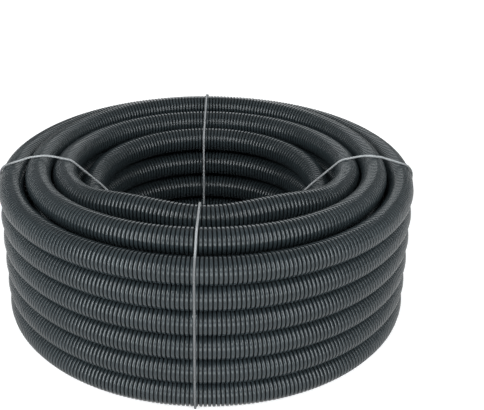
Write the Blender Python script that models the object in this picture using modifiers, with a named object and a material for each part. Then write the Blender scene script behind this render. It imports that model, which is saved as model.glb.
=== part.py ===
"""Corrugated polyethylene conduit, wound in a coil and held by four cord ties.

Metres, +Z up. The coil stands on its flat end on the floor: its axis is the Z axis and its
lowest turns touch z = 0. The pipe is one moulded length, so it is one solid: a turned body
whose scallops are the turns of the winding, with the two free ends joined to it. The inner
end lies in the eye of the coil and the outer end leaves the lowest turn at the back. Both
are cut square and open, with the corrugated wall showing, and a draw wire comes out of each.
"""

from math import cos, pi, radians, sin, sqrt

import bmesh
import bpy
from mathutils import Matrix, Vector
from mathutils.geometry import interpolate_bezier

# The pipe: its corrugated wall is one thin skin, ribbed outside and inside alike
PIPE_OD = 0.050
WALL = 0.0010
RIB_PITCH = 0.0075
RIB_DEPTH = 0.0030
RIB_CREST = 0.0040
RIB_SLOPE = 0.0005

# The winding: columns of turns, from the eye outward, with the gap between turns in each
EYE_DIAMETER = 0.388
COLUMN_GAP = 0.0069
INNER_TURNS = 5
INNER_TURN_GAP = 0.00875
SECOND_TURNS = 6
SECOND_TURN_GAP = 0.0050
THIRD_TURNS = 6
THIRD_TURN_GAP = 0.0041
OUTER_TURNS = 6

# The free ends
OUTER_TAIL = 0.205
INNER_BEND_OFFSET = 0.090
INNER_BEND_AZIMUTH = radians(-10.0)
INNER_END_GAP = 0.010
END_RIBS = 5
BORE_FLOOR = 0.0060

# The ties and the draw wire
TIE_DIAMETER = 0.0045
WIRE_DIAMETER = 0.0016
CLEARANCE = 0.0003

# How finely round shapes are divided
TURNING_STEPS = 36
PIPE_SIDES = 12
END_SIDES = 16
CUTTER_MARGIN = 0.010

PIPE_RADIUS = PIPE_OD / 2
TAIL_RADIUS = PIPE_RADIUS - RIB_DEPTH / 2
COLUMN_STEP = PIPE_OD + COLUMN_GAP
INNER_RADIUS = EYE_DIAMETER / 2 + PIPE_RADIUS
OUTER_RADIUS = INNER_RADIUS + 3 * COLUMN_STEP
CORNER_STRETCH = 1 / cos(pi / PIPE_SIDES)

# Name, and azimuth seen from above, counted from +X towards +Y
TIES = (
    ("tie_front", radians(-92.0)),
    ("tie_right", radians(-2.0)),
    ("tie_back", radians(90.0)),
    ("tie_left", radians(182.0)),
)


def clear_scene():
    for old in list(bpy.data.objects):
        bpy.data.objects.remove(old, do_unlink=True)


def collection(name):
    made = bpy.data.collections.new(name)
    bpy.context.scene.collection.children.link(made)
    return made


def material(name, colour, roughness):
    made = bpy.data.materials.new(name)
    made.use_nodes = True
    surface = made.node_tree.nodes["Principled BSDF"]
    surface.inputs["Base Color"].default_value = (*colour, 1.0)
    surface.inputs["Roughness"].default_value = roughness
    surface.inputs["Metallic"].default_value = 0.0
    made.diffuse_color = (*colour, 1.0)
    return made


def columns():
    """Each column of the winding as the centres of its turns in the (radius, height) plane."""
    rows = (
        (INNER_TURNS, INNER_TURN_GAP),
        (SECOND_TURNS, SECOND_TURN_GAP),
        (THIRD_TURNS, THIRD_TURN_GAP),
        (OUTER_TURNS, 0.0),
    )
    made = []
    for index, (turns, gap) in enumerate(rows):
        radius = INNER_RADIUS + index * COLUMN_STEP
        made.append([(radius, PIPE_RADIUS + k * (PIPE_OD + gap)) for k in range(turns)])
    return made


def arc(centre, radius, start, end):
    """Corners of the pipe's outline between two of its angles, given in degrees, clockwise."""
    side = 360 // PIPE_SIDES
    reach = radius * CORNER_STRETCH
    angles = [radians(a) for a in range(start, end - 1, -side)]
    return [(centre[0] + reach * cos(a), centre[1] + reach * sin(a)) for a in angles]


def winding_outline():
    """Closed outline of the winding's section: down the outer side, in below, up the eye.

    Where pipes lie apart, the groove between them runs in past their widest point.
    """
    inner, second, third, outer = columns()
    points = arc(outer[-1], PIPE_RADIUS, 195, -75)
    for centre in reversed(outer[1:-1]):
        points += arc(centre, PIPE_RADIUS, 75, -75)
    points += arc(outer[0], PIPE_RADIUS, 75, -195)
    for column in (third, second):
        points += arc(column[0], PIPE_RADIUS, 15, -195)
    points += arc(inner[0], PIPE_RADIUS, 15, -285)
    for centre in inner[1:-1]:
        points += arc(centre, PIPE_RADIUS, -75, -285)
    points += arc(inner[-1], PIPE_RADIUS, -75, -375)
    for column in (second, third):
        points += arc(column[-1], PIPE_RADIUS, -165, -375)
    return points


def profile_mesh(name, points, closed):
    """A wire outline in the XZ plane, for a Screw modifier to turn about Z."""
    mesh = bpy.data.meshes.new(name)
    edges = [(i, i + 1) for i in range(len(points) - 1)]
    if closed:
        edges.append((len(points) - 1, 0))
    mesh.from_pydata([(r, 0.0, z) for r, z in points], edges, [])
    return mesh


def turned(name, points, closed, steps, into):
    body = bpy.data.objects.new(name, profile_mesh(name, points, closed))
    into.objects.link(body)
    screw = body.modifiers.new("Turn", "SCREW")
    screw.axis = "Z"
    screw.angle = 2 * pi
    screw.steps = steps
    screw.render_steps = steps
    screw.use_merge_vertices = True
    screw.merge_threshold = 0.00001
    screw.use_smooth_shade = True
    return body


def swept(name, points, diameter, sides, into, cyclic=False):
    """A round tube along a path of points."""
    curve = bpy.data.curves.new(name, "CURVE")
    curve.dimensions = "3D"
    curve.bevel_depth = diameter / 2
    curve.bevel_resolution = sides // 2 - 2
    curve.use_fill_caps = not cyclic
    spline = curve.splines.new("POLY")
    spline.points.add(len(points) - 1)
    for target, point in zip(spline.points, points):
        target.co = (*point, 1.0)
    spline.use_cyclic_u = cyclic
    tube = bpy.data.objects.new(name, curve)
    into.objects.link(tube)
    return tube


def as_mesh(body, into):
    """The evaluated object as a plain mesh object, with a curve's loose caps welded."""
    bpy.context.view_layer.update()
    seen = body.evaluated_get(bpy.context.evaluated_depsgraph_get())
    mesh = bpy.data.meshes.new_from_object(seen)
    shell = bmesh.new()
    shell.from_mesh(mesh)
    bmesh.ops.remove_doubles(shell, verts=shell.verts, dist=0.00001)
    bmesh.ops.recalc_face_normals(shell, faces=shell.faces)
    shell.to_mesh(mesh)
    shell.free()
    plain = bpy.data.objects.new(body.name, mesh)
    plain.matrix_world = body.matrix_world.copy()
    name = body.name
    bpy.data.objects.remove(body, do_unlink=True)
    plain.name = name
    into.objects.link(plain)
    return plain


def rib_wave(radius, along):
    """One rib's corners on a surface whose crest has this radius: crest first, then valley."""
    valley = radius - RIB_DEPTH
    return [
        (radius, along),
        (radius, along + RIB_CREST),
        (valley, along + RIB_CREST + RIB_SLOPE),
        (valley, along + RIB_PITCH - RIB_SLOPE),
    ]


def end_outline(tail):
    """Half section of a cut end: ribs outside, the bore inside, the cut at height zero.

    Heights run down into the pipe. The floor closes the bore behind the last rib, and a tail
    of this length, as thick as the pipe's mean, may follow it.
    """
    depth = END_RIBS * RIB_PITCH
    foot = depth + BORE_FLOOR
    inside = [p for k in range(END_RIBS) for p in rib_wave(PIPE_RADIUS - WALL, k * RIB_PITCH)]
    outside = [p for k in range(END_RIBS) for p in rib_wave(PIPE_RADIUS, k * RIB_PITCH)]
    inside += [(PIPE_RADIUS - WALL - RIB_DEPTH, depth), (0.0, depth)]
    outside += [(PIPE_RADIUS, depth), (PIPE_RADIUS, foot)]
    if tail:
        outside += [(TAIL_RADIUS, foot), (TAIL_RADIUS, foot + tail)]
    outside.append((0.0, foot + tail))
    return [(r, -z) for r, z in reversed(inside)] + [(r, -z) for r, z in outside]


def cut_end(name, mouth, tail, into):
    """The open, ribbed last stretch of a free end. Its cut face looks along -X."""
    body = turned(name, end_outline(tail), False, END_SIDES, into)
    body.matrix_world = Matrix.Translation(mouth) @ Matrix.Rotation(-pi / 2, 4, "Y")
    return body


def inner_bend():
    """Centre line of the inner end's bend, from where its cut end starts to the lowest turn."""
    radius = INNER_RADIUS - INNER_BEND_OFFSET
    centre = INNER_BEND_OFFSET * azimuth_vector(INNER_BEND_AZIMUTH)
    start = -pi / 2
    count = TURNING_STEPS // 4
    turns = [start + (INNER_BEND_AZIMUTH - start) * k / count for k in range(count + 1)]
    return [centre + radius * azimuth_vector(a) + Vector((0.0, 0.0, PIPE_RADIUS)) for a in turns]


def azimuth_vector(azimuth):
    return Vector((cos(azimuth), sin(azimuth), 0.0))


def end_length():
    return END_RIBS * RIB_PITCH + BORE_FLOOR


def inner_mouth():
    """Centre of the inner end's cut face, whose foot just clears the wall of the eye."""
    line = inner_bend()[0]
    wall = EYE_DIAMETER / 2 * cos(pi / TURNING_STEPS)
    foot = sqrt((wall - PIPE_RADIUS - INNER_END_GAP) ** 2 - line.y**2)
    return Vector((foot - end_length(), line.y, line.z))


def outer_mouth():
    """Centre of the outer end's cut face."""
    return Vector((-OUTER_TAIL - end_length(), OUTER_RADIUS, PIPE_RADIUS))


def inner_tail(into):
    """The bend of the inner end and the straight that runs on into the cut end's foot."""
    root = inner_mouth() + Vector((end_length() - BORE_FLOOR / 2, 0.0, 0.0))
    path = [root] + inner_bend()
    return as_mesh(swept("inner_tail", path, 2 * TAIL_RADIUS, END_SIDES, into), into)


def boolean(body, other, operation):
    cut = body.modifiers.new(f"{operation.title()} {other.name}", "BOOLEAN")
    cut.operation = operation
    cut.solver = "EXACT"
    cut.object = other
    other.hide_render = True
    other.display_type = "WIRE"


def conduit(parts, cutters, black):
    """The whole pipe: turned winding, its two free ends, and a nest for each tie below."""
    body = turned("conduit", winding_outline(), True, TURNING_STEPS, parts)
    joined = (
        cut_end("outer_end", outer_mouth(), OUTER_TAIL, cutters),
        inner_tail(cutters),
        cut_end("inner_end", inner_mouth(), 0.0, cutters),
    )
    for other in joined:
        boolean(body, other, "UNION")
    for name, azimuth in TIES:
        boolean(body, tie_nest(f"{name}_nest", azimuth, cutters), "DIFFERENCE")
    body.data.materials.append(black)
    return body


def tie_nest(name, azimuth, into):
    """A slot under the lowest turns, where the tie presses into the soft ribs."""
    width = TIE_DIAMETER + 2 * CLEARANCE
    reach = OUTER_RADIUS - INNER_RADIUS + PIPE_OD + 2 * CUTTER_MARGIN
    height = width + CUTTER_MARGIN
    mesh = bpy.data.meshes.new(name)
    shell = bmesh.new()
    bmesh.ops.create_cube(shell, size=1.0)
    bmesh.ops.scale(shell, vec=(reach, width, height), verts=shell.verts)
    middle = ((INNER_RADIUS + OUTER_RADIUS) / 2, 0.0, width - height / 2)
    bmesh.ops.translate(shell, vec=middle, verts=shell.verts)
    shell.to_mesh(mesh)
    shell.free()
    slot = bpy.data.objects.new(name, mesh)
    slot.rotation_euler.z = azimuth
    into.objects.link(slot)
    return slot


def convex_hull(points):
    """Corners of the tightest loop round the points, counterclockwise."""
    ordered = sorted(set(points))

    def half(run):
        kept = []
        for p in run:
            while len(kept) > 1 and turn_of(kept[-2], kept[-1], p) <= 1e-12:
                kept.pop()
            kept.append(p)
        return kept[:-1]

    return half(ordered) + half(reversed(ordered))


def turn_of(a, b, c):
    return (b[0] - a[0]) * (c[1] - a[1]) - (b[1] - a[1]) * (c[0] - a[0])


def clipped_below(loop, level):
    """The loop with everything under the level cut off straight."""
    kept = []
    for (ax, az), (bx, bz) in zip(loop, loop[1:] + loop[:1]):
        if az >= level:
            kept.append((ax, az))
        if (az - level) * (bz - level) < 0.0:
            share = (level - az) / (bz - az)
            kept.append((ax + share * (bx - ax), level))
    return kept


def tie_outline():
    """The taut loop of a tie's centre line round the winding's section, flush below.

    The turned body's flat facets reach a little further into the eye than its true circle.
    """
    reach = PIPE_RADIUS + CLEARANCE + TIE_DIAMETER / 2
    facet_bulge = EYE_DIAMETER / 2 * (1 - cos(pi / TURNING_STEPS))
    around = []
    for column, bulge in zip(columns(), (facet_bulge, 0.0, 0.0, 0.0)):
        for radius, height in (column[0], column[-1]):
            around += arc((radius - bulge, height), reach, 345, 15)
    return clipped_below(convex_hull(around), CLEARANCE + TIE_DIAMETER / 2)


def tie(name, azimuth, parts, grey):
    path = [Vector((r * cos(azimuth), r * sin(azimuth), z)) for r, z in tie_outline()]
    loop = swept(name, path, TIE_DIAMETER, 8, parts, cyclic=True)
    loop.data.materials.append(grey)
    return loop


def smooth_route(points, spacing):
    """Points about this far apart on a smooth curve through the given ones."""
    ends = [2 * points[0] - points[1]] + list(points) + [2 * points[-1] - points[-2]]
    route = []
    for before, a, b, after in zip(ends, ends[1:], ends[2:], ends[3:]):
        count = max(3, round((b - a).length / spacing) + 1)
        handle_a = a + (b - before) / 6
        handle_b = b - (after - a) / 6
        route += interpolate_bezier(a, handle_a, handle_b, b, count)[:-1]
    return route + [points[-1]]


def draw_wire(name, mouth, route, parts, pale):
    """The draw wire's free tail: along the bore's low side, over the lip, down to the floor.

    The route's heights count from the wire's rest in the bore, and its lengths from the cut.
    """
    bore = (PIPE_RADIUS - WALL - RIB_DEPTH) * cos(pi / END_SIDES)
    rest = mouth - Vector((0.0, 0.0, bore - CLEARANCE - WIRE_DIAMETER / 2))
    points = [rest + Vector((END_RIBS * RIB_PITCH - CLEARANCE, 0.0, 0.0)), rest]
    points += [rest + Vector(step) for step in route]
    for point in points:
        point.z = max(point.z, WIRE_DIAMETER / 2)
    wire = swept(name, smooth_route(points, 2.5 * WIRE_DIAMETER), WIRE_DIAMETER, 8, parts)
    wire.data.materials.append(pale)
    return wire


# Steps of each draw wire's route from where it leaves the bore at the cut face
OUTER_WIRE_ROUTE = (
    (-0.022, 0.001, 0.0025),
    (-0.046, 0.000, 0.0035),
    (-0.070, -0.006, 0.0010),
    (-0.091, -0.018, -0.0028),
    (-0.108, -0.036, -0.0042),
    (-0.118, -0.058, -0.0042),
)
INNER_WIRE_ROUTE = (
    (-0.022, -0.001, 0.0025),
    (-0.046, 0.000, 0.0035),
    (-0.070, 0.006, 0.0010),
    (-0.093, 0.018, -0.0028),
    (-0.111, 0.037, -0.0042),
    (-0.121, 0.060, -0.0042),
)


def main():
    clear_scene()
    parts = collection("corrugated_conduit_coil")
    cutters = collection("cutters")
    black = material("black_polyethylene", (0.018, 0.020, 0.022), 0.38)
    grey = material("grey_tie_cord", (0.52, 0.53, 0.53), 0.60)
    pale = material("pale_draw_wire", (0.74, 0.74, 0.72), 0.45)
    conduit(parts, cutters, black)
    for name, azimuth in TIES:
        tie(name, azimuth, parts, grey)
    draw_wire("draw_wire_outer", outer_mouth(), OUTER_WIRE_ROUTE, parts, pale)
    draw_wire("draw_wire_inner", inner_mouth(), INNER_WIRE_ROUTE, parts, pale)


main()
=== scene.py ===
"""Looks of the corrugated conduit coil: its ribbed turns, open ends, cord ties and draw wires.

Metres and +Z up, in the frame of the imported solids. Azimuths are seen from above, from +X
towards +Y. The pipe is followed counterclockwise: from the cut end in the eye up the inner
column, and down the outer column to the cut end on the floor.
"""

from math import atan2, ceil, cos, pi, radians, sin, tau

import bpy
from bpy.props import FloatProperty, FloatVectorProperty, IntProperty, PointerProperty
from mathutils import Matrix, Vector
from mathutils.geometry import interpolate_bezier


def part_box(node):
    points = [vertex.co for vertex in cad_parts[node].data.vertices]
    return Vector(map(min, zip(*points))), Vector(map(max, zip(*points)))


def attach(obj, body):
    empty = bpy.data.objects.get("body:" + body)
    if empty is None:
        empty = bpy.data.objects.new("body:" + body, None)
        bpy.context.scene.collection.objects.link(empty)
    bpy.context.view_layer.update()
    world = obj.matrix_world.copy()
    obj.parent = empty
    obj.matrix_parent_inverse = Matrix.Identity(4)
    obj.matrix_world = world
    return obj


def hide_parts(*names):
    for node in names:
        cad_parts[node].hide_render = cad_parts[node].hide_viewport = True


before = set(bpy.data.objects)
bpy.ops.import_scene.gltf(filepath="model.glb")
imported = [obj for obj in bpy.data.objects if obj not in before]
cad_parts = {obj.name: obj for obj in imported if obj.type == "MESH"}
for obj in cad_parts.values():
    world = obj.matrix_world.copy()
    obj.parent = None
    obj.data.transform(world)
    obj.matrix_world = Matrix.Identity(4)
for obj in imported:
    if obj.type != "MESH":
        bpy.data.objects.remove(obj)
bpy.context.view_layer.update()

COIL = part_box("conduit")

bl_info = {
    "name": "Corrugated Conduit Coil",
    "version": (1, 0, 0),
    "blender": (4, 5, 0),
    "location": "View3D > Sidebar > Conduit",
    "description": "Builds a coil of corrugated conduit with its ties, open ends and draw wires",
    "category": "Object",
}

BLACK, CORD, WIRE = "black_polyethylene", "tie_cord", "draw_wire"


# Sizes and colours that a user would change


class PipeSizes(bpy.types.PropertyGroup):
    """The corrugated pipe itself."""

    diameter: FloatProperty(
        name="Outside Diameter", description="Across the crests of the ribs",
        default=0.050, unit="LENGTH")
    wall: FloatProperty(
        name="Wall", description="Thickness of the moulded skin",
        default=0.0010, unit="LENGTH")
    pitch: FloatProperty(
        name="Rib Pitch", description="Length of one rib and one valley together",
        default=0.0075, unit="LENGTH")
    depth: FloatProperty(
        name="Rib Depth", description="Height of a crest over the valley floor",
        default=0.0038, unit="LENGTH")
    valley_share: FloatProperty(
        name="Valley Share", description="Share of each pitch that is flat valley floor",
        default=0.21, min=0.05, max=0.6, subtype="FACTOR")
    sides: IntProperty(
        name="Sides", description="Faces round the pipe where it shows", default=16, min=8)
    buried_sides: IntProperty(
        name="Buried Sides", description="Faces round the pipe inside the winding",
        default=12, min=6)


class WindingSizes(bpy.types.PropertyGroup):
    """How the turns lie beside and on each other."""

    column_step: FloatProperty(
        name="Column Step", description="Between neighbouring columns at the front and back",
        default=0.0569, unit="LENGTH")
    inner_rise: FloatProperty(
        name="Inner Rise", description="Height of one turn of the innermost column at the back",
        default=0.05875, unit="LENGTH")
    inner_squeeze: FloatProperty(
        name="Inner Squeeze", description="How much less that column rises with each turn in front",
        default=0.0080, unit="LENGTH")
    second_rise: FloatProperty(
        name="Second Rise", description="Height of one turn of the second column",
        default=0.0510, unit="LENGTH")
    third_rise: FloatProperty(
        name="Third Rise", description="Height of one turn of the third column",
        default=0.0541, unit="LENGTH")
    inner_spread: FloatProperty(
        name="Inner Spread", description="How far the innermost column bulges at the sides",
        default=0.0160, unit="LENGTH")
    second_spread: FloatProperty(
        name="Second Spread", description="How far the second column bulges at the sides",
        default=0.0095, unit="LENGTH")
    third_spread: FloatProperty(
        name="Third Spread", description="How far the third column bulges at the sides",
        default=0.0040, unit="LENGTH")
    top_lift: FloatProperty(
        name="Top Turn Lift", description="How far the second column's top turn rides up",
        default=0.0095, unit="LENGTH")
    top_tilt: FloatProperty(
        name="Top Turn Tilt", description="How far that turn drops from front to back",
        default=0.0210, unit="LENGTH")
    top_pinch: FloatProperty(
        name="Top Turn Pinch", description="How far that turn is drawn in at the front",
        default=0.0160, unit="LENGTH")
    top_shoulder: FloatProperty(
        name="Top Turn Shoulder", description="How far that turn is drawn in beside the front tie",
        default=0.0125, unit="LENGTH")
    front_lift: FloatProperty(
        name="Front Lift", description="How far the third column's top turn rides up in front",
        default=0.0040, unit="LENGTH")
    sag: FloatProperty(
        name="Side Sag", description="How far the two middle top turns are pressed down at the sides",
        default=0.0070, unit="LENGTH")
    dent: FloatProperty(
        name="Tie Dent", description="How far the side ties press the innermost top turn down",
        default=0.0090, unit="LENGTH")


class SmallSizes(bpy.types.PropertyGroup):
    """Ties and draw wire."""

    tie: FloatProperty(
        name="Tie Diameter", description="Across the three twisted strands",
        default=0.0044, unit="LENGTH")
    lay: FloatProperty(
        name="Lay", description="Length in which a strand of the tie goes once round",
        default=0.0180, unit="LENGTH")
    wire: FloatProperty(
        name="Draw Wire Diameter", description="Across the draw wire",
        default=0.0016, unit="LENGTH")
    knot: FloatProperty(
        name="Knot Width", description="Across the knot of a tie",
        default=0.0080, unit="LENGTH")


class Finishes(bpy.types.PropertyGroup):
    """Colours and gloss."""

    plastic: FloatVectorProperty(
        name="Polyethylene", description="Colour of the carbon black plastic",
        subtype="COLOR", default=(0.023, 0.030, 0.033), min=0.0, max=1.0)
    plastic_roughness: FloatProperty(
        name="Polyethylene Roughness", description="How satin the moulded crests are",
        default=0.16, min=0.0, max=1.0)
    dust: FloatVectorProperty(
        name="Dust", description="Colour of the thin bloom on the crests",
        subtype="COLOR", default=(0.045, 0.058, 0.065), min=0.0, max=1.0)
    cord: FloatVectorProperty(
        name="Tie Cord", description="Colour of the twisted ties",
        subtype="COLOR", default=(0.49, 0.50, 0.51), min=0.0, max=1.0)
    wire: FloatVectorProperty(
        name="Draw Wire", description="Colour of the draw wire",
        subtype="COLOR", default=(0.74, 0.74, 0.72), min=0.0, max=1.0)


class StudioSettings(bpy.types.PropertyGroup):
    """Floor, lamps and camera."""

    floor: FloatVectorProperty(
        name="Floor", description="Colour of the floor",
        subtype="COLOR", default=(0.80, 0.80, 0.80), min=0.0, max=1.0)
    key: FloatProperty(
        name="Key Lamp", description="Power of the large lamp in front",
        default=16.0, unit="POWER")
    fill: FloatProperty(
        name="Fill Lamp", description="Power of the long low lamp in front",
        default=30.0, unit="POWER")
    top: FloatProperty(
        name="Top Lamp", description="Power of the lamp overhead",
        default=2.0, unit="POWER")
    back: FloatProperty(
        name="Back Lamp", description="Power of the lamp behind, which rims the upper turns",
        default=17.0, unit="POWER")
    side: FloatProperty(
        name="Side Lamps",
        description="Power of the tall lamp on the left, of which the right one has a share",
        default=37.0, unit="POWER")
    sky: FloatProperty(
        name="Sky", description="Strength of the even light from all round",
        default=0.20, min=0.0)
    reflected: FloatProperty(
        name="Reflected Sky", description="Strength of the surroundings in the plastic's gloss",
        default=0.24, min=0.0)


# Modelling helpers

# Points of neighbouring copies that lie this close are welded into one
WELD = 0.00005


def deselect():
    if bpy.context.mode != "OBJECT":
        bpy.ops.object.mode_set(mode="OBJECT")
    bpy.ops.object.select_all(action="DESELECT")


def only(body):
    """Makes a body the one selected and active object."""
    deselect()
    body.select_set(True)
    bpy.context.view_layer.objects.active = body


def fresh(name):
    """The primitive that was just added, under its own name."""
    body = bpy.context.object
    body.name = name
    body.data.name = name
    return body


def apply(body, kind, **settings):
    only(body)
    modifier = body.modifiers.new(kind.title(), kind)
    for key, value in settings.items():
        setattr(modifier, key, value)
    bpy.ops.object.modifier_apply(modifier=modifier.name)


def line_through(name, points, closed=False, thickness=0.0):
    """A curve of straight steps, with a round section where it has a thickness."""
    curve = bpy.data.curves.new(name, "CURVE")
    curve.dimensions = "3D"
    curve.bevel_depth = thickness / 2
    spline = curve.splines.new("POLY")
    spline.points.add(len(points) - 1)
    for target, point in zip(spline.points, points):
        target.co = (*point, 1.0)
    spline.use_cyclic_u = closed
    line = bpy.data.objects.new(name, curve)
    bpy.context.scene.collection.objects.link(line)
    return line


def bend_along(body, points, closed=False, twist="Z_UP"):
    """Bends a straight piece, which starts at the origin and runs along +X, along a line."""
    path = line_through(f"{body.name}_path", points, closed)
    path.data.twist_mode = twist
    apply(body, "CURVE", object=path, deform_axis="POS_X")
    bpy.data.objects.remove(path, do_unlink=True)


def repeat(body, count, step):
    """Copies a piece in a row along +X and welds the copies together."""
    apply(body, "ARRAY", count=count, use_relative_offset=False, use_constant_offset=True,
          constant_offset_displace=(step, 0.0, 0.0), use_merge_vertices=True,
          merge_threshold=WELD)


def length_of(points, closed=False):
    ends = points[1:] + points[:1] if closed else points[1:]
    return sum((b - a).length for a, b in zip(points, ends))


def remember_straight(body, name):
    """Keeps each point's place on the straight piece, which patterns follow after the bend."""
    mesh = body.data
    places = [value for vertex in mesh.vertices for value in vertex.co]
    mesh.attributes.new(name, "FLOAT_VECTOR", "POINT").data.foreach_set("vector", places)


def ring(name, sides, radius):
    """An open circle round the X axis, from which a rib or a cord is pulled out."""
    deselect()
    bpy.ops.mesh.primitive_circle_add(
        vertices=sides, radius=radius, fill_type="NOTHING", rotation=(0.0, pi / 2, 0.0))
    body = fresh(name)
    bpy.ops.object.transform_apply(location=False, rotation=True, scale=False)
    return body


def close_ends(body, closed):
    """Welds a closed loop's two ends, or caps both ends of a run, and faces it outward."""
    only(body)
    bpy.ops.object.mode_set(mode="EDIT")
    bpy.ops.mesh.select_mode(type="VERT")
    bpy.ops.mesh.select_all(action="SELECT")
    if closed:
        bpy.ops.mesh.remove_doubles(threshold=WELD)
    else:
        bpy.ops.mesh.fill_holes(sides=0)
    bpy.ops.mesh.select_all(action="SELECT")
    bpy.ops.mesh.normals_make_consistent(inside=False)
    bpy.ops.object.mode_set(mode="OBJECT")


def finish(body, material, slot, *nodes):
    """Gives a finished piece its material and ride, and hides the nodes that it stands for. Its slot
    is not used.
    """
    body.data.materials.clear()
    body.data.materials.append(material)
    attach(body, "root")
    if nodes:
        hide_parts(*nodes)


# The pipe

# A crest from foot to foot: places across it from -1 to 1, each with its share of the height
CREST = ((-1.0, 0.0), (-0.90, 0.74), (-0.62, 1.0), (0.62, 1.0), (0.90, 0.74), (1.0, 0.0))
BURIED_CREST = ((-1.0, 0.0), (-0.60, 1.0), (0.60, 1.0), (1.0, 0.0))


def rib_profile(pipe, crest):
    """One pitch of the pipe as (share of the pitch, radius): valley floor, then its crest."""
    floor = pipe.diameter / 2 - pipe.depth
    half = (1.0 - pipe.valley_share) / 2
    return [(0.0, floor)] + [(1.0 - half + half * u, floor + pipe.depth * h) for u, h in crest]


def rib(name, pipe, pitch, crest=CREST):
    """One rib along +X: a ring pulled out and resized at each point of its profile."""
    profile = rib_profile(pipe, crest)
    body = ring(name, pipe.sides if crest is CREST else pipe.buried_sides, profile[0][1])
    bpy.ops.object.mode_set(mode="EDIT")
    bpy.ops.mesh.select_all(action="SELECT")
    for (share, radius), (further, next_radius) in zip(profile, profile[1:]):
        step = (further - share) * pitch
        growth = next_radius / radius
        bpy.ops.mesh.extrude_region_move(TRANSFORM_OT_translate={"value": (step, 0.0, 0.0)})
        bpy.ops.transform.resize(
            value=(1.0, growth, growth), center_override=(further * pitch, 0.0, 0.0))
    bpy.ops.object.mode_set(mode="OBJECT")
    return body


def pipe_run(name, points, closed=False, crest=CREST, ribs_apart=1):
    """A stretch of ribbed pipe along a centre line, closed at both ends in a valley."""
    pipe = bpy.context.scene.conduit_pipe
    whole = length_of(points, closed)
    count = round(whole / pipe.pitch / ribs_apart)
    pitch = whole / count
    body = rib(name, pipe, pitch, crest)
    repeat(body, count, pitch)
    remember_straight(body, "pipe")
    bend_along(body, points, closed)
    close_ends(body, closed)
    only(body)
    bpy.ops.object.shade_smooth()
    apply(body, "WEIGHTED_NORMAL", mode="FACE_AREA", weight=50)
    return body


def eased(share):
    """From 0 to 1 with soft ends."""
    share = min(max(share, 0.0), 1.0)
    return share * share * (3.0 - 2.0 * share)


def eased_over(azimuth, span):
    """From 0 to 1 with soft ends, over a span of running azimuth."""
    start, end = span
    return eased((azimuth - start) / (end - start))


def crossings_behind(azimuth, span):
    """How many crossings lie behind this running azimuth, with one in this span of each turn."""
    start, end = span
    turns, within = divmod(azimuth - start, tau)
    return turns + eased(within / (end - start))


def on_circle(radius, azimuth, height):
    return Vector((radius * cos(azimuth), radius * sin(azimuth), height))


def sampled(place, start, end, step=radians(2.0)):
    """Points of a centre line, from a function of the running azimuth."""
    count = ceil((end - start) / step)
    return [place(start + (end - start) * k / count) for k in range(count + 1)]


class Column:
    """One column of turns, which may bulge at the sides and rise less in front."""

    def __init__(self, pipe_radius, radius, spread, rise, squeeze=0.0):
        self.base = pipe_radius
        self.radius = radius
        self.spread = spread
        self.rise = rise
        self.squeeze = squeeze

    def place(self, level, azimuth):
        """A point of the centre line of one turn, counted from 0 on the floor."""
        rise = self.rise - self.squeeze * (1.0 - sin(azimuth)) / 2
        reach = self.radius + self.spread * cos(azimuth) ** 2
        return on_circle(reach, azimuth, self.base + level * rise)

    def turn(self, level):
        return closed_turn(lambda azimuth: self.place(level, azimuth))


def closed_turn(place):
    return sampled(place, 0.0, tau)[:-1]


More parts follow.
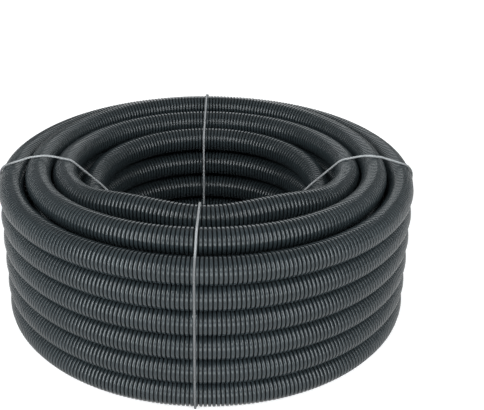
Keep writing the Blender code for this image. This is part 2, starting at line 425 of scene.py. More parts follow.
class Winding:
    """Where the pipe lies, from the frame's box and a few sizes."""

    # Levels of the top turns, counted from 0 on the floor: of the inner column and the others
    INNER_TOP = 4
    TOP = 5
    # Running azimuths at which each turn crosses to the next level or the pipe changes its
    # column, and at which the pieces start and end
    OUTER_CROSSING = (radians(112), radians(160))
    OUTER_ARRIVAL = (radians(158), radians(193))
    INNER_CROSSING = (radians(245), radians(305))
    INNER_DEPARTURE = (radians(1655), radians(1695))
    OUTER_START = radians(-162)
    OUTER_MIDDLE = radians(810)
    OUTER_END = radians(1890)
    INNER_START = radians(-10)
    INNER_MIDDLE = radians(950)
    INNER_END = radians(2013)
    # How narrow the dent under a side tie is: the power of the azimuth's cosine
    DENT_POWER = 16
    # Half a turn divided by this is how far the second top turn's shoulders reach from the front
    SHOULDERS = 3
    # Shares of a shoulder: how far that turn is drawn in right in front, and how far it rises
    FRONT_SHARE = 0.8
    SHOULDER_RISE = 0.4

    def __init__(self):
        scene = bpy.context.scene
        pipe, sizes = scene.conduit_pipe, scene.conduit_winding
        self.radius = pipe.diameter / 2
        self.sizes = sizes
        outer = COIL[1].x - self.radius
        step = sizes.column_step
        self.outer = Column(self.radius, outer, 0.0, pipe.diameter)
        self.third = Column(
            self.radius, outer - step, sizes.third_spread, sizes.third_rise)
        self.second = Column(
            self.radius, outer - 2 * step, sizes.second_spread, sizes.second_rise)
        self.inner = Column(
            self.radius, outer - 3 * step, sizes.inner_spread, sizes.inner_rise,
            sizes.inner_squeeze)

    def outer_place(self, azimuth):
        """From the turn under the third column's top one, down the outer column."""
        level = self.TOP - max(1.0, crossings_behind(azimuth, self.OUTER_CROSSING))
        arrived = eased_over(azimuth, self.OUTER_ARRIVAL)
        below = self.third.place(self.TOP - 1, azimuth)
        return below.lerp(self.outer.place(level, azimuth), arrived)

    def inner_place(self, azimuth):
        """Up the inner column, then out under the second column's top turn."""
        level = min(self.INNER_TOP, crossings_behind(azimuth, self.INNER_CROSSING))
        at_top = max(0.0, level - self.INNER_TOP + 1)
        point = self.dented(self.inner.place(level, azimuth), azimuth, at_top)
        departed = eased_over(azimuth, self.INNER_DEPARTURE)
        return point.lerp(self.second.place(self.TOP - 1, azimuth), departed)

    def dented(self, point, azimuth, share=1.0):
        """A point of the innermost column, pressed down where the side ties cross it."""
        point.z -= self.sizes.dent * share * cos(azimuth) ** self.DENT_POWER
        return point

    def outer_top(self, azimuth):
        return self.outer.place(self.TOP, azimuth)

    def third_top(self, azimuth):
        """A turn that rides up in front, and that the ties press down at the sides."""
        point = self.third.place(self.TOP, azimuth)
        point.z -= self.sizes.sag * cos(azimuth) ** 2
        point.z += self.sizes.front_lift * ((1.0 - sin(azimuth)) / 2) ** 2
        return point

    def second_top(self, azimuth):
        """A leaning turn: high and drawn in at the front, low at the back."""
        sizes = self.sizes
        point = self.second.place(self.TOP, azimuth)
        from_front = min(abs((azimuth + 3 * pi / 2) % tau - pi), pi / self.SHOULDERS)
        beside = sin(self.SHOULDERS * from_front) ** 2
        in_front = cos(self.SHOULDERS / 2 * from_front) ** 2
        point.y += sizes.top_pinch / 2 * (1.0 - sin(azimuth))
        point.y += self.FRONT_SHARE * sizes.top_shoulder * in_front
        point.y += sizes.top_shoulder * beside
        point.z += sizes.top_lift - sizes.top_tilt / 2 * sin(azimuth)
        point.z += self.SHOULDER_RISE * sizes.top_shoulder * beside
        point.z -= sizes.sag * cos(azimuth) ** 2
        return point

    def inner_top(self, azimuth):
        """The innermost column's highest turn, dented by the side ties."""
        return self.dented(self.inner.place(self.INNER_TOP, azimuth), azimuth)

    def around_tie(self, azimuth):
        """The centres of the turns that a tie at this azimuth lies against."""
        return [
            self.inner.place(0, azimuth), self.inner_top(azimuth),
            self.second.place(0, azimuth), self.second_top(azimuth),
            self.third.place(0, azimuth), self.third_top(azimuth),
            self.outer.place(0, azimuth), self.outer_top(azimuth),
        ]


class CONDUIT_OT_outer_turns(bpy.types.Operator):
    """Model the outer column, from its top crossing down to the turn on the floor"""

    bl_idname = "conduit.outer_turns"
    bl_label = "Outer Turns"

    def execute(self, context):
        winding, black = Winding(), plastic()
        upper = sampled(winding.outer_place, winding.OUTER_START, winding.OUTER_MIDDLE)
        lower = sampled(winding.outer_place, winding.OUTER_MIDDLE, winding.OUTER_END)
        finish(pipe_run("conduit_upper_turns", upper), black, BLACK, "conduit")
        finish(pipe_run("conduit_lower_turns", lower), black, BLACK)
        return {"FINISHED"}


class CONDUIT_OT_inner_turns(bpy.types.Operator):
    """Model the inner column round the eye"""

    bl_idname = "conduit.inner_turns"
    bl_label = "Inner Turns"

    def execute(self, context):
        winding, black = Winding(), plastic()
        lower = sampled(winding.inner_place, winding.INNER_START, winding.INNER_MIDDLE)
        upper = sampled(winding.inner_place, winding.INNER_MIDDLE, winding.INNER_END)
        finish(pipe_run("conduit_inner_turns_low", lower), black, BLACK)
        finish(pipe_run("conduit_inner_turns_high", upper), black, BLACK)
        return {"FINISHED"}


class CONDUIT_OT_top_turns(bpy.types.Operator):
    """Model the top turns of the outer, third and second columns"""

    bl_idname = "conduit.top_turns"
    bl_label = "Top Turns"

    def execute(self, context):
        winding, black = Winding(), plastic()
        for name, place in (
            ("conduit_top_turn_outer", winding.outer_top),
            ("conduit_top_turn_third", winding.third_top),
            ("conduit_top_turn_second", winding.second_top),
        ):
            finish(pipe_run(name, closed_turn(place), closed=True), black, BLACK)
        return {"FINISHED"}


# The turns that nothing shows between have one long rib for this many
HIDDEN_RIBS_APART = 4


class CONDUIT_OT_middle_turns(bpy.types.Operator):
    """Model the turns of the two middle columns, which show below and between the others"""

    bl_idname = "conduit.middle_turns"
    bl_label = "Middle Turns"

    def execute(self, context):
        winding, black = Winding(), plastic()
        for name, column, levels in (
            ("conduit_base_turns", winding.third, (0, 3)),
            ("conduit_buried_turns", winding.second, (0, 1, 2, 3)),
        ):
            turns = [
                pipe_run(f"{name}_{level}", column.turn(level), closed=True, crest=BURIED_CREST)
                for level in levels]
            finish(joined(name, turns), black, BLACK)
        hidden = [
            pipe_run(f"conduit_hidden_turns_{level}", winding.third.turn(level), closed=True,
                     crest=BURIED_CREST, ribs_apart=HIDDEN_RIBS_APART)
            for level in (1, 2)]
        finish(joined("conduit_hidden_turns", hidden), black, BLACK)
        return {"FINISHED"}


def joined(name, bodies):
    deselect()
    for body in bodies:
        body.select_set(True)
    bpy.context.view_layer.objects.active = bodies[0]
    bpy.ops.object.join()
    bodies[0].name = name
    bodies[0].data.name = name
    return bodies[0]


# The free ends

# Where each mouth's middle lies: one over the straight tail at the back, one in the eye
OUTER_MOUTH_X = -0.2485
INNER_MOUTH = (0.02076, -0.14463)
# From the axis to the middle of the bend behind the inner mouth
BEND_OFFSET = 0.090
BEND_SPACING = radians(3.0)
# Share of the first pitch that the saw takes off, which leaves the mouth in mid crest
CUT_SHARE = 0.62
# Edges that turn by more than this stay sharp at a mouth
SHARP_EDGE = radians(75.0)


class CONDUIT_OT_free_ends(bpy.types.Operator):
    """Model the two free ends of the pipe as hollow, ribbed, square cut tubes"""

    bl_idname = "conduit.free_ends"
    bl_label = "Free Ends"

    def execute(self, context):
        black = plastic()
        for name, points in (
            ("conduit_outer_end", outer_end_line()),
            ("conduit_inner_end", inner_end_line()),
        ):
            finish(hollow_run(name, points), black, BLACK)
        return {"FINISHED"}


def hollow_run(name, points):
    """An open, walled stretch of pipe whose mouth is cut through the middle of a crest."""
    pipe = bpy.context.scene.conduit_pipe
    whole = length_of(points)
    count = round(whole / pipe.pitch)
    pitch = whole / (count - CUT_SHARE)
    cut = CUT_SHARE * pitch
    ahead = (points[0] - points[1]).normalized() * cut
    body = rib(name, pipe, pitch)
    repeat(body, count, pitch)
    bpy.ops.object.mode_set(mode="EDIT")
    bpy.ops.mesh.select_all(action="SELECT")
    bpy.ops.mesh.normals_make_consistent(inside=False)
    bpy.ops.mesh.bisect(plane_co=(cut, 0.0, 0.0), plane_no=(1.0, 0.0, 0.0), clear_inner=True)
    bpy.ops.object.mode_set(mode="OBJECT")
    remember_straight(body, "pipe")
    apply(body, "SOLIDIFY", thickness=pipe.wall, offset=-1.0, use_even_offset=False)
    bend_along(body, [points[0] + ahead] + points)
    only(body)
    bpy.ops.object.shade_smooth()
    bpy.ops.object.shade_smooth_by_angle(angle=SHARP_EDGE)
    return body


def outer_end_line():
    """From the outer mouth along the straight tail to where it meets the lowest turn."""
    winding = Winding()
    return straight(outer_mouth(), winding.outer.place(0, pi / 2))


def straight(start, end, step=0.010):
    """Points at most a step apart on a straight line."""
    count = ceil((end - start).length / step)
    return [start.lerp(end, k / count) for k in range(count + 1)]


def outer_mouth():
    winding = Winding()
    return Vector((OUTER_MOUTH_X, winding.outer.radius, winding.radius))


def inner_mouth():
    return Vector((*INNER_MOUTH, Winding().radius))


def inner_end_line():
    """From the inner mouth through its bend to where it meets the inner column."""
    winding = Winding()
    meeting = winding.inner.place(0, winding.INNER_START)
    centre = on_circle(BEND_OFFSET, winding.INNER_START, winding.radius)
    mouth = inner_mouth()
    bottom = centre.y - mouth.y
    bend = sampled(
        lambda a: centre + bend_step(a, winding.INNER_START, bottom, (meeting - centre).length),
        -pi / 2, winding.INNER_START, BEND_SPACING)
    return straight(mouth, bend[0])[:-1] + bend


def bend_step(azimuth, end, start_radius, end_radius):
    """Out from a bend's middle, whose radius grows a little from its start to its end."""
    share = eased((azimuth + pi / 2) / (end + pi / 2))
    return on_circle(start_radius + (end_radius - start_radius) * share, azimuth, 0.0)


# Materials


class Value:
    """A socket that takes part in arithmetic, which adds Math nodes to its material."""

    def __init__(self, surface, socket):
        self.surface = surface
        self.socket = socket

    def _join(self, operation, first, second):
        return self.surface.node(
            "ShaderNodeMath", {"operation": operation}, {0: first, 1: second})

    def __add__(self, other):
        return self._join("ADD", self, other)

    def __radd__(self, other):
        return self._join("ADD", other, self)

    def __sub__(self, other):
        return self._join("SUBTRACT", self, other)

    def __rsub__(self, other):
        return self._join("SUBTRACT", other, self)

    def __mul__(self, other):
        return self._join("MULTIPLY", self, other)

    def __rmul__(self, other):
        return self._join("MULTIPLY", other, self)

    def __truediv__(self, other):
        return self._join("DIVIDE", self, other)

    def __rtruediv__(self, other):
        return self._join("DIVIDE", other, self)


class Surface:
    """A material or a world under construction, whose nodes all come from one method."""

    def __init__(self, owner):
        owner.use_nodes = True
        self.owner = owner
        self.tree = owner.node_tree
        self.tree.nodes.clear()

    def node(self, kind, settings=None, sockets=None, output=0):
        """Adds a node, sets it up, then fills its sockets with values or links."""
        made = self.tree.nodes.new(kind)
        for key, value in (settings or {}).items():
            if key == "stops":
                self._stops(made.color_ramp, value)
            else:
                setattr(made, key, value)
        for key, value in (sockets or {}).items():
            if isinstance(value, Value):
                self.tree.links.new(value.socket, made.inputs[key])
            else:
                made.inputs[key].default_value = value
        return Value(self, made.outputs[output]) if made.outputs else None

    def _stops(self, ramp, stops):
        while len(ramp.elements) < len(stops):
            ramp.elements.new(1.0)
        for element, (position, level) in zip(ramp.elements, stops):
            element.position = position
            element.color = (level, level, level, 1.0)

    def ramp(self, value, *stops):
        return self.node("ShaderNodeValToRGB", {"stops": stops}, {"Fac": value})

    def noise(self, vector, scale=1.0, detail=3.0):
        return self.node("ShaderNodeTexNoise", {}, {
            "Vector": vector, "Scale": scale, "Detail": detail})

    def stretched(self, vector, scale):
        """A place with its own scale for each axis."""
        return self.node("ShaderNodeMapping", {}, {"Vector": vector, "Scale": scale})

    def blend(self, share, first, second):
        """A mix of two colours, each a value or a plain colour."""
        return self.node(
            "ShaderNodeMix", {"data_type": "RGBA"}, {0: share, 6: first, 7: second}, output=2)

    def object_place(self):
        return self.node("ShaderNodeTexCoord", output=3)

    def remembered(self, name):
        """A place on the straight piece, kept as an attribute before the bend."""
        return self.node("ShaderNodeAttribute", {"attribute_name": name}, output=1)

    def distance(self, place, axes=(1.0, 1.0, 1.0)):
        """How far a place lies from the origin along these axes, each 1 or 0."""
        kept = self.node("ShaderNodeVectorMath", {"operation": "MULTIPLY"}, {0: place, 1: axes})
        return self.node("ShaderNodeVectorMath", {"operation": "LENGTH"}, {0: kept}, output=1)

    def ray(self, kind):
        """1 for rays of this kind, 0 for all others."""
        return self.node("ShaderNodeLightPath", output=f"Is {kind} Ray")

    def seen(self):
        """1 for rays with which the camera looks, also through something clear."""
        return self.ray("Camera") + self.ray("Transmission")

    def principled(self, **sockets):
        """The finished surface. Names are the sockets' own, with underscores for spaces."""
        inputs = {key.replace("_", " "): value for key, value in sockets.items()}
        shader = self.node("ShaderNodeBsdfPrincipled", {}, inputs)
        self.node("ShaderNodeOutputMaterial", {}, {"Surface": shader})
        return self.owner


def shared(name):
    """Builds a material the first time that a piece asks for it, and hands it to the others."""

    def keeper(build):
        def find_or_build():
            return bpy.data.materials.get(name) or build(Surface(bpy.data.materials.new(name)))

        return find_or_build

    return keeper


def opaque(colour, shade=1.0):
    """A colour for a socket, darkened where the shade is less than 1."""
    return (*(shade * channel for channel in colour), 1.0)


# Axes that lead away from the straight pipe's centre line, and from the coil's axis
OFF_THE_PIPE = (0.0, 1.0, 1.0)
OFF_THE_AXIS = (1.0, 1.0, 0.0)
# How dark the valleys' painted shade is, and the shares of the rib's height where crests take over
VALLEY_PAINTED_SHADE = 0.10
CREST_STOPS = ((0.10, 0.0), (0.80, 1.0))
# Where dust gathers, how much of it shows there, and how much more some ribs have
DUST_STOPS = ((0.40, 0.0), (0.70, 1.0))
DUST_SHARE = 0.30
RIB_DUST = 0.16
# How much rougher the valleys are moulded, how much smoother the crests are rubbed, and what
# dull clouds and streaks add
VALLEY_ROUGHNESS = 0.26
CREST_RUB = 0.30
DULL_CLOUDS = 0.10
DULL_STREAKS = 0.06


@shared("ribbed_polyethylene")
def plastic(surface):
    """Carbon black polyethylene: satin, a little worn and dusty on crests, with painted valley shade.
    """
    sizes, finishes = bpy.context.scene.conduit_pipe, bpy.context.scene.conduit_finishes
    place, pipe = surface.object_place(), surface.remembered("pipe")
    floor = sizes.diameter / 2 - sizes.depth
    height = (surface.distance(pipe, OFF_THE_PIPE) - floor) / sizes.depth
    crest = surface.ramp(height, *CREST_STOPS)
    clouds = surface.noise(place, scale=9.0, detail=4.0)
    grain = surface.noise(place, scale=420.0, detail=2.0)
    streaks = surface.noise(surface.stretched(pipe, (14.0, 190.0, 190.0)))
    each_rib = surface.noise(surface.stretched(pipe, (95.0, 9.0, 9.0)), detail=1.0)
    dusty = surface.ramp(clouds * 0.5 + streaks * 0.5, *DUST_STOPS) * DUST_SHARE
    skin = surface.blend(
        dusty + each_rib * RIB_DUST, opaque(finishes.plastic), opaque(finishes.dust))
    # The valleys get a painted shade: the plastic's own colour darkened, under the dusty crests
    colour = surface.blend(crest, opaque(finishes.plastic, VALLEY_PAINTED_SHADE), skin)
    moulded = finishes.plastic_roughness + VALLEY_ROUGHNESS
    roughness = moulded - crest * CREST_RUB + clouds * DULL_CLOUDS + streaks * DULL_STREAKS
    bump = surface.node("ShaderNodeBump", {}, {
        "Strength": 0.12, "Distance": 0.0004, "Height": grain * 0.5 + streaks * 0.5})
    return surface.principled(
        Base_Color=colour, Roughness=roughness, Normal=bump, IOR=1.50,
        Specular_IOR_Level=0.5)


# How much of its colour a tie keeps between its fibres
FIBRE_SHADE = 0.62
FIBRE_STOPS = ((0.30, 0.0), (0.72, 1.0))
# How much of its colour a tie keeps where it runs down outside the coil, a painted shade that leaves
# its runs over the top lighter, and the distances from the coil's axis between which that sets in
OUTSIDE_PAINTED_SHADE = 0.29
OUTSIDE_SHADE_STOPS = ((0.385, 0.0), (0.412, 1.0))


@shared("grey_tie_cord")
def cord_fibre(surface):
    """Light grey twisted polypropylene with fine fibres, with painted shade where it runs down
    outside.
    """
    finishes = bpy.context.scene.conduit_finishes
    cord = surface.remembered("cord")
    fibres = surface.noise(surface.stretched(cord, (90.0, 1500.0, 1500.0)))
    soil = surface.noise(cord, scale=14.0)
    shade = surface.ramp(fibres * 0.6 + soil * 0.4, *FIBRE_STOPS)
    fibred = surface.blend(shade, opaque(finishes.cord, FIBRE_SHADE), opaque(finishes.cord))
    from_axis = surface.distance(surface.object_place(), OFF_THE_AXIS)
    outside = surface.ramp(from_axis, *OUTSIDE_SHADE_STOPS)
    # The runs outside the coil get a painted shade, darker than the tops over it
    colour = surface.blend(outside, fibred, opaque(finishes.cord, OUTSIDE_PAINTED_SHADE))
    bump = surface.node("ShaderNodeBump", {}, {
        "Strength": 0.4, "Distance": 0.0003, "Height": fibres})
    return surface.principled(Base_Color=colour, Roughness=0.45 + fibres * 0.2, Normal=bump)


# How much of its colour the draw wire keeps in its darker spots
MOTTLE_SHADE = 0.85


@shared("pale_draw_wire")
def wire_finish(surface):
    """Pale smooth draw wire with a faint mottling."""
    finishes = bpy.context.scene.conduit_finishes
    mottle = surface.noise(surface.object_place(), scale=160.0)
    colour = surface.blend(
        mottle, opaque(finishes.wire, MOTTLE_SHADE), opaque(finishes.wire))
    return surface.principled(Base_Color=colour, Roughness=0.34 + mottle * 0.12)


# Ties

# Steps in degrees round each turn's section, for the loop that is drawn tight round them all,
# and the smallest turn of its line that counts as a corner
SECTION_STEP = 6
LEAST_CORNER = 1e-12
# About how far apart the points of a tie's or a wire's line lie
CORD_SPACING = 0.004
# A cord's strands, the faces across each, the rings in a third of a lay, and how far the
# grooves between the strands reach in: their share of the cord's radius
STRANDS = 3
STRAND_FACES = 4
RINGS_PER_THIRD = 4
GROOVE_SHARE = 0.74
# A knot's strand and how far it weaves in and out, as shares of the knot's width and of its
# sweep, and the steps round its line
KNOT_STRAND = 0.19
KNOT_WEAVE = 0.8
KNOT_STEPS = 36
# Where the side ties stand off the innermost top turn and bow over the second one:
# (distance from the axis, height)
SIDE_SLACK = ((0.1955, 0.2310), (0.2350, 0.2665), (0.2700, 0.2960), (0.2900, 0.3095),
              (0.3050, 0.3155), (0.3200, 0.3178), (0.3320, 0.3178), (0.3533, 0.3150))


def convex_hull(points):
    """Corners of the tightest loop round the points, counterclockwise."""
    ordered = sorted(set(points))

    def turn_of(a, b, c):
        return (b[0] - a[0]) * (c[1] - a[1]) - (b[1] - a[1]) * (c[0] - a[0])

    def half(run):
        kept = []
        for p in run:
            while len(kept) > 1 and turn_of(kept[-2], kept[-1], p) <= LEAST_CORNER:
                kept.pop()
            kept.append(p)
        return kept[:-1]

    return half(ordered) + half(reversed(ordered))


def tie_loop(azimuth, lean, slack):
    """The loop of a tie's centre line round the turns, leaning aside from inside to out."""
    winding, small = Winding(), bpy.context.scene.conduit_small
    reach = winding.radius + small.tie / 2
    around = list(slack)
    for centre in winding.around_tie(azimuth):
        radius = centre.xy.length
        around += [(radius + reach * cos(radians(a)), centre.z + reach * sin(radians(a)))
                   for a in range(0, 360, SECTION_STEP)]
    middle = winding.second.radius + winding.sizes.column_step / 2
    aside = on_circle(1.0, azimuth + pi / 2, 0.0)
    floor = small.tie / 2
    return [on_circle(r, azimuth, max(z, floor)) + aside * lean * (r - middle)
            for r, z in convex_hull(around)]


def evenly(loop):
    """Points about evenly spaced along a closed loop's straight steps."""
    made = []
    for a, b in zip(loop, loop[1:] + loop[:1]):
        count = max(1, round((b - a).length / CORD_SPACING))
        made += [a.lerp(b, k / count) for k in range(count)]
    return made


def twisted(name, loop, small):
    """A closed cord of three strands twisted together, bent along a loop."""
    whole = length_of(loop, closed=True)
    count = round(whole / (small.lay / STRANDS))
    step = whole / count
    body = ring(name, STRANDS * STRAND_FACES, small.tie / 2)
    for vertex in list(body.data.vertices)[::STRAND_FACES]:
        vertex.co *= GROOVE_SHARE
    bpy.ops.object.mode_set(mode="EDIT")
    bpy.ops.mesh.select_all(action="SELECT")
    for _ in range(RINGS_PER_THIRD):
        bpy.ops.mesh.extrude_region_move(
            TRANSFORM_OT_translate={"value": (step / RINGS_PER_THIRD, 0.0, 0.0)})
        bpy.ops.transform.rotate(
            value=tau / STRANDS / RINGS_PER_THIRD, orient_axis="X",
            center_override=(0.0, 0.0, 0.0))
    bpy.ops.object.mode_set(mode="OBJECT")
    repeat(body, count, step)
    remember_straight(body, "cord")
    bend_along(body, loop, closed=True, twist="MINIMUM")
    close_ends(body, closed=True)
    only(body)
    bpy.ops.object.shade_smooth()
    return body


def knot(name, azimuth, height, small):
    """An overhand knot in the outer run of a tie, pulled into the groove between two turns."""
    strand = small.knot * KNOT_STRAND
    sweep = small.knot / 2 - strand
    weave = KNOT_WEAVE * sweep
    points = [
        (sweep * (sin(a) + 2 * sin(2 * a)) / 3, sweep * (cos(a) - 2 * cos(2 * a)) / 3,
         -weave * sin(3 * a))
        for a in (tau * k / KNOT_STEPS for k in range(KNOT_STEPS))]
    body = line_through(name, points, closed=True, thickness=2 * strand)
    body.data.bevel_resolution = 2
    only(body)
    bpy.ops.object.convert(target="MESH")
    body = bpy.context.object
    remember_straight(body, "cord")
    winding = Winding()
    reach = winding.outer.radius + winding.radius
    body.location = on_circle(reach, azimuth, height)
    body.rotation_euler = (pi / 2, 0.0, azimuth + pi / 2)
    only(body)
    bpy.ops.object.transform_apply(location=True, rotation=True, scale=False)
    bpy.ops.object.shade_smooth()
    return body


def tie_azimuth(node):
    """Where a tie stands round the coil, from its node's box."""
    low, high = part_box(node)
    middle = (low + high) / 2
    return atan2(middle.y, middle.x)


class CONDUIT_OT_ties(bpy.types.Operator):
    """Model the four twisted cord ties round the section of the winding"""

    bl_idname = "conduit.ties"
    bl_label = "Ties"

    def execute(self, context):
        small, grey = context.scene.conduit_small, cord_fibre()
        for node, turned, lean, knot_height, slack in (
            ("tie_front", -0.7, 0.0, 0.2024, ()),
            ("tie_right", 0.0, 0.0, 0.1512, SIDE_SLACK),
            ("tie_back", 0.0, -0.045, 0.1020, ()),
            ("tie_left", 0.0, 0.0, 0.1515, SIDE_SLACK),
        ):
            azimuth = tie_azimuth(node) + radians(turned)
            body = twisted(f"{node}_cord", evenly(tie_loop(azimuth, lean, slack)), small)
            bead = knot(f"{node}_knot", azimuth, knot_height, small)
            finish(joined(f"{node}_cord", [body, bead]), grey, CORD, node)
        return {"FINISHED"}


# Draw wires

# Steps of each draw wire's route from where it leaves the bore at the cut face
OUTER_WIRE_ROUTE = (
    (-0.022, 0.001, 0.0025),
    (-0.046, 0.000, 0.0035),
    (-0.070, -0.006, 0.0010),
    (-0.091, -0.018, -0.0028),
    (-0.108, -0.036, -0.0042),
    (-0.118, -0.058, -0.0042),
)
INNER_WIRE_ROUTE = (
    (-0.022, -0.001, 0.0025),
    (-0.046, 0.000, 0.0035),
    (-0.070, 0.006, 0.0010),
    (-0.093, 0.018, -0.0028),
    (-0.111, 0.037, -0.0042),
    (-0.121, 0.060, -0.0042),
)
# How far inside the mouth each tail starts, how far below the pipe's middle the wire lies,
# and how far behind that start the held stretch goes on
WIRE_START = 0.0372
WIRE_DROP = 0.0195
WIRE_GAP = 0.002


def smooth_route(points):
    """Points about evenly spaced on a smooth curve through the given ones."""
    ends = [2 * points[0] - points[1]] + list(points) + [2 * points[-1] - points[-2]]
    route = []
    for before, a, b, after in zip(ends, ends[1:], ends[2:], ends[3:]):
        count = max(3, round((b - a).length / CORD_SPACING) + 1)
        route += interpolate_bezier(a, a + (b - before) / 6, b - (after - a) / 6, b, count)[:-1]
    return route + [points[-1]]


def wire_curve(name, points, diameter):
    """A stretch of wire, capped at both ends."""
    wire = line_through(name, points, thickness=diameter)
    wire.data.bevel_resolution = 3
    wire.data.use_fill_caps = True
    return wire


class CONDUIT_OT_draw_wires(bpy.types.Operator):
    """Lay the draw wire's two free tails, and the stretch that shows inside each open end"""

    bl_idname = "conduit.draw_wires"
    bl_label = "Draw Wires"

    def execute(self, context):
        diameter = context.scene.conduit_small.wire
        pale, drop = wire_finish(), Vector((0.0, 0.0, WIRE_DROP))
        for node, mouth, route, line in (
            ("draw_wire_outer", outer_mouth(), OUTER_WIRE_ROUTE, outer_end_line()),
            ("draw_wire_inner", inner_mouth(), INNER_WIRE_ROUTE, inner_end_line()),
        ):
            rest = mouth - drop
            start = rest + Vector((WIRE_START, 0.0, 0.0))
            points = [start, rest] + [rest + Vector(step) for step in route]
            for point in points:
                point.z = max(point.z, diameter / 2)
            points = smooth_route(points)
            tail = wire_curve(f"{node}_tail", points, diameter)
            finish(tail, pale, WIRE, node)
            length_of(points)
            inside = [p - drop for p in line if p.x > start.x + WIRE_GAP]
            held = wire_curve(f"{node}_held", [start] + inside[:-1], diameter)
            finish(held, pale, WIRE)
        return {"FINISHED"}


# The stage

WHITE = (1.0, 1.0, 1.0)
LAMP_COLOUR = (0.93, 0.98, 1.0)
# What every lamp faces
LIT_POINT = Vector((0.0, 0.0, 0.15))
# Each lamp's width, height and place
LAMPS = {
    "key": ((1.6, 0.8), (0.0, -2.3, 1.80)),
    "fill": ((2.4, 1.0), (0.0, -2.6, 0.30)),
    "left": ((0.45, 2.5), (-1.60, -1.50, 1.25)),
    "right": ((0.45, 2.5), (1.60, -1.50, 1.25)),
    "top": ((1.6, 1.6), (0.0, 0.5, 2.6)),
    "back": ((2.0, 1.4), (0.35, 2.8, 1.45)),
}
# The right lamp's power as a share of the left one's
RIGHT_SHARE = 0.78
FLOOR_SIZE = 12.0
# Just under the coil, which stands on the ground plane
FLOOR_HEIGHT = -0.0002
# Distances from the axis between which the floor in the turns' gloss goes from a painted shade,
# black, to white
MIRRORED_SHADE_STOPS = ((0.20, 0.0), (0.46, 1.0))
# How bright the floor stays to the camera where the coil shades it. It turns plain white
# between two shares of this reach from the axis
SHADOW_GLOW = 0.62
SHADOW_REACH = 4.0
SHADOW_STOPS = ((0.20, SHADOW_GLOW), (0.55, 1.0))


def lamp(name, power):
    """A soft rectangular lamp."""
    size, place = LAMPS[name]
    data = bpy.data.lights.new(name, "AREA")
    data.shape = "RECTANGLE"
    data.size, data.size_y = size
    data.energy = power
    data.color = LAMP_COLOUR
    body = bpy.data.objects.new(name, data)
    body.location = place
    body.rotation_mode = "QUATERNION"
    body.rotation_quaternion = (Vector(place) - LIT_POINT).to_track_quat("Z", "Y")
    body.visible_camera = False
    bpy.context.scene.collection.objects.link(body)


def floor_finish(colour):
    """Pale floor, white to the camera with the shadow kept, with painted shade near the coil in
    gloss.
    """
    surface = Surface(bpy.data.materials.new("studio_floor"))
    matt = surface.node("ShaderNodeBsdfDiffuse", {}, {"Color": opaque(colour)})
    from_axis = surface.distance(surface.object_place())
    mirrored = surface.ramp(from_axis, *MIRRORED_SHADE_STOPS)
    open_floor = surface.ramp(from_axis / SHADOW_REACH, *SHADOW_STOPS)
    glow = surface.node("ShaderNodeEmission", {}, {
        "Color": opaque(WHITE), "Strength": surface.seen() * open_floor})
    lit = surface.node("ShaderNodeAddShader", {}, {0: matt, 1: glow})
    # In the gloss the floor near the coil is a painted shade, black, turning white further out
    white = surface.node("ShaderNodeEmission", {}, {
        "Color": opaque(WHITE), "Strength": mirrored})
    mix = surface.node("ShaderNodeMixShader", {}, {
        "Fac": surface.ray("Glossy"), 1: lit, 2: white})
    surface.node("ShaderNodeOutputMaterial", {}, {"Surface": mix})
    return surface.owner


def sky(strength, reflected):
    """White to the camera, paler in the plastic's gloss, and an even soft grey as light."""
    world = bpy.data.worlds.new("studio")
    bpy.context.scene.world = world
    surface = Surface(world)
    mirrored = surface.ray("Glossy") * (reflected - strength)
    back = surface.node("ShaderNodeBackground", {}, {
        "Color": opaque(WHITE),
        "Strength": strength + surface.seen() * (1.0 - strength) + mirrored})
    surface.node("ShaderNodeOutputWorld", {}, {"Surface": back})


# The photograph's view, whose pitch is in radians below the horizon. The coil's axis stands
# left of the picture's middle
CAMERA_PLACE = (0.0, -1.651, 1.0279)
CAMERA_PITCH = 0.464
LENS = 66.11
SENSOR_WIDTH = 36.0
PICTURE_WIDTH = 484
AXIS_PIXEL = 206.1


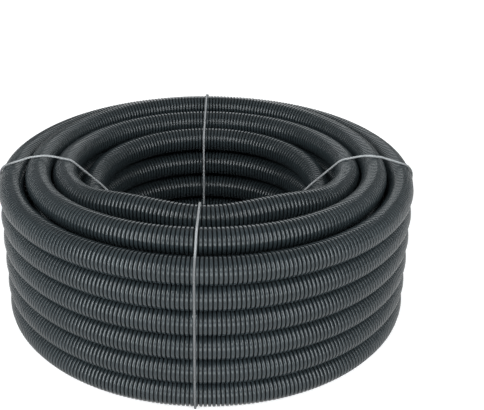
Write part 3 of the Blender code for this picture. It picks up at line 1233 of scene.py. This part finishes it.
class CONDUIT_OT_stage(bpy.types.Operator):
    """Set up the floor, the soft lamps and the camera"""

    bl_idname = "conduit.stage"
    bl_label = "Studio"

    def execute(self, context):
        scene = context.scene
        studio = scene.conduit_studio
        scene.view_settings.view_transform = "Standard"
        deselect()
        bpy.ops.mesh.primitive_plane_add(size=FLOOR_SIZE, location=(0.0, 0.0, FLOOR_HEIGHT))
        floor = fresh("studio_floor")
        floor.data.materials.append(floor_finish(studio.floor))
        sky(studio.sky, studio.reflected)
        lamp("key", studio.key)
        lamp("fill", studio.fill)
        lamp("left", studio.side)
        lamp("right", RIGHT_SHARE * studio.side)
        lamp("top", studio.top)
        lamp("back", studio.back)
        view = bpy.data.cameras.new("camera")
        view.lens = LENS
        view.sensor_width = SENSOR_WIDTH
        view.shift_x = 0.5 - AXIS_PIXEL / PICTURE_WIDTH
        camera = bpy.data.objects.new("camera", view)
        camera.location = CAMERA_PLACE
        camera.rotation_euler = (pi / 2 - CAMERA_PITCH, 0.0, 0.0)
        scene.collection.objects.link(camera)
        scene.camera = camera
        return {"FINISHED"}


class CONDUIT_PT_panel(bpy.types.Panel):
    """Lists the pieces and their sizes"""

    bl_label = "Conduit Coil"
    bl_idname = "CONDUIT_PT_panel"
    bl_space_type = "VIEW_3D"
    bl_region_type = "UI"
    bl_category = "Conduit"

    def draw(self, context):
        layout = self.layout
        for operator in OPERATORS:
            layout.operator(operator.bl_idname)
        for group in GROUPS:
            settings = getattr(context.scene, group)
            box = layout.box()
            for name in settings.__annotations__:
                box.prop(settings, name)


GROUPS = {
    "conduit_pipe": PipeSizes,
    "conduit_winding": WindingSizes,
    "conduit_small": SmallSizes,
    "conduit_finishes": Finishes,
    "conduit_studio": StudioSettings,
}
OPERATORS = (
    CONDUIT_OT_stage,
    CONDUIT_OT_draw_wires,
    CONDUIT_OT_outer_turns,
    CONDUIT_OT_inner_turns,
    CONDUIT_OT_top_turns,
    CONDUIT_OT_middle_turns,
    CONDUIT_OT_free_ends,
    CONDUIT_OT_ties,
)


def register():
    for group in GROUPS.values():
        bpy.utils.register_class(group)
    for name, group in GROUPS.items():
        setattr(bpy.types.Scene, name, PointerProperty(type=group))
    for operator in OPERATORS:
        bpy.utils.register_class(operator)
    bpy.utils.register_class(CONDUIT_PT_panel)


def unregister():
    bpy.utils.unregister_class(CONDUIT_PT_panel)
    for operator in reversed(OPERATORS):
        bpy.utils.unregister_class(operator)
    for name, group in GROUPS.items():
        delattr(bpy.types.Scene, name)
        bpy.utils.unregister_class(group)


def main():
    register()
    bpy.ops.conduit.stage()
    bpy.ops.conduit.draw_wires()
    bpy.ops.conduit.outer_turns()
    bpy.ops.conduit.inner_turns()
    bpy.ops.conduit.top_turns()
    bpy.ops.conduit.middle_turns()
    bpy.ops.conduit.free_ends()
    bpy.ops.conduit.ties()


if __name__ == "__main__":
    main()
